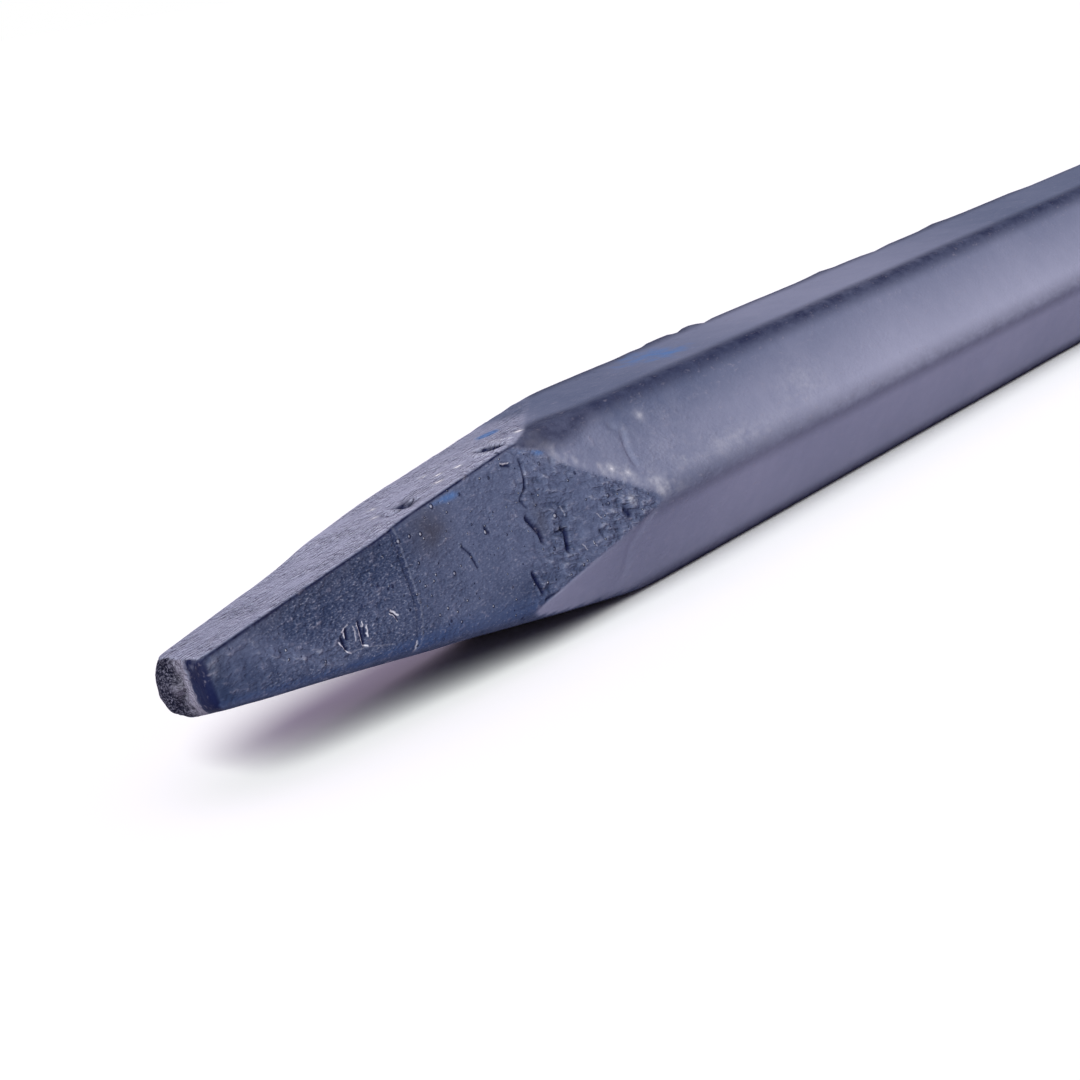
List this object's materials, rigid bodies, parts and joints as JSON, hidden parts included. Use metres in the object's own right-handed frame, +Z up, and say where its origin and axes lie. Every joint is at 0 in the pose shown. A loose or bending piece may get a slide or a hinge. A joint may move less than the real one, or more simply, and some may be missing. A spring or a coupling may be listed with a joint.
{
  "type": "slate bar",
  "caption": "Long hexagonal steel prying bar with a blunt tapered four-sided point at one end and a flat chisel, bent upward, at the other; dark slate-blue paint.",
  "frame": {"origin": "under the middle of the bar's length, on the surface that its lower flat rests on", "axes": "+X runs along the bar from the point to the chisel, +Z is up, square to the lower flat and the way the blade is bent, +Y is across the bar"},
  "size_m": [1.524, 0.0398, 0.0472],
  "materials": {
    "slate_blue_paint": "satin slate-blue paint over black forging scale, dusty, chipped and scratched"
  },
  "bodies": {
    "root": {"forged_bar": "slate_blue_paint"}
  },
  "joints": []
}
